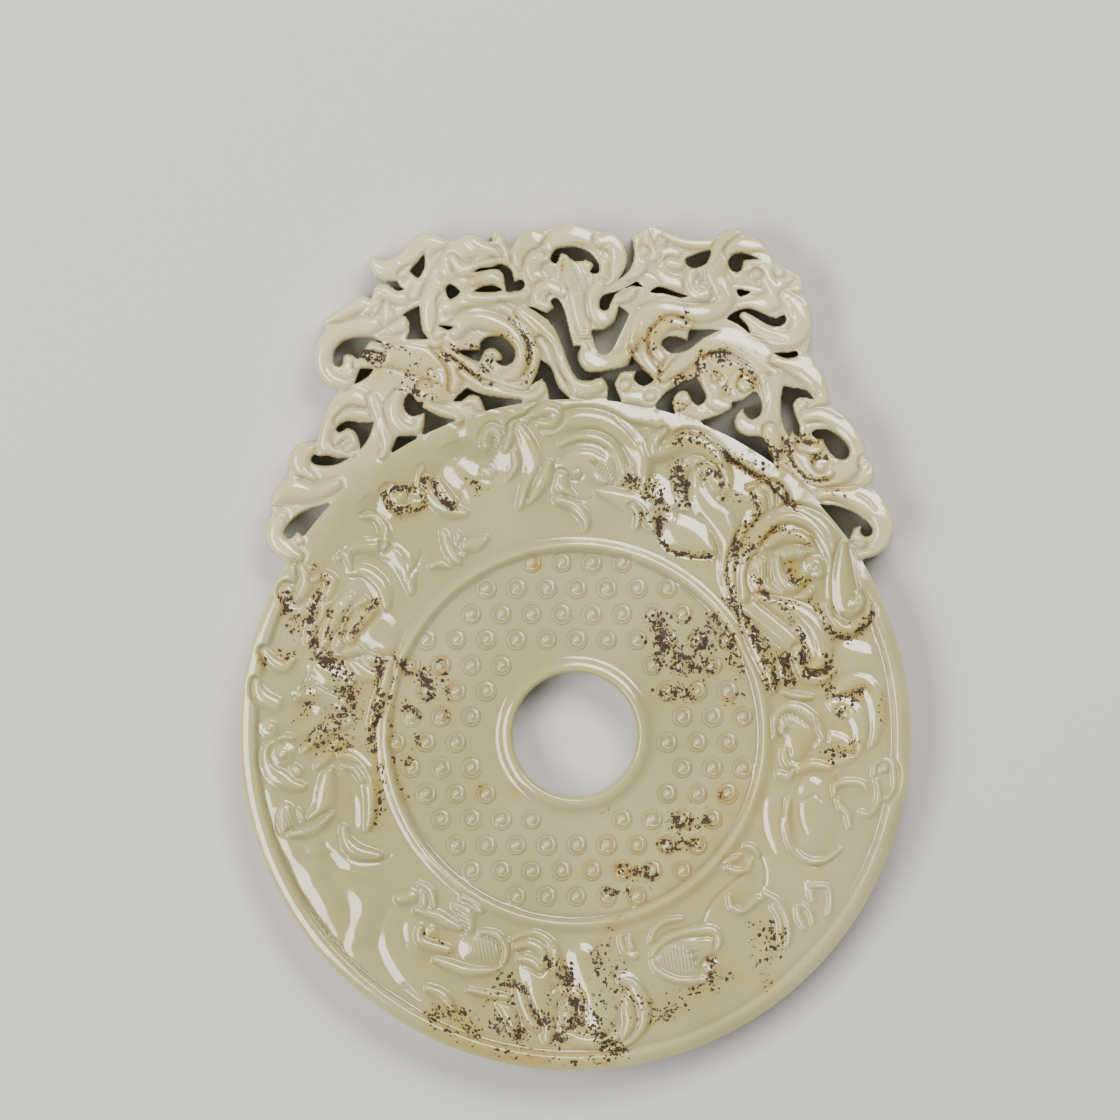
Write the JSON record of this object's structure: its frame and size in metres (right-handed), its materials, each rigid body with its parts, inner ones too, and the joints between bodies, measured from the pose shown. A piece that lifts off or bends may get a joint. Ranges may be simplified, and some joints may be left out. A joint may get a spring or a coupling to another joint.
{
  "type": "jade disc pendant with a pierced dragon crest",
  "caption": "Round flat pendant with a centre hole, a grain field, a carved dragon band and a pierced crest on top.",
  "frame": {"origin": "on the axis of the centre hole, at the flat back face", "axes": "+Z along the axis of the centre hole, out of the carved face; +Y along the length, towards the crest; the pendant lies on its back on z = 0"},
  "size_m": [0.07, 0.0884, 0.005],
  "materials": {
    "jade": "polished, slightly translucent pale grey-green jade with ochre and dark brown stains in its recesses"
  },
  "bodies": {
    "root": {"jade_pendant": "jade"}
  },
  "joints": []
}
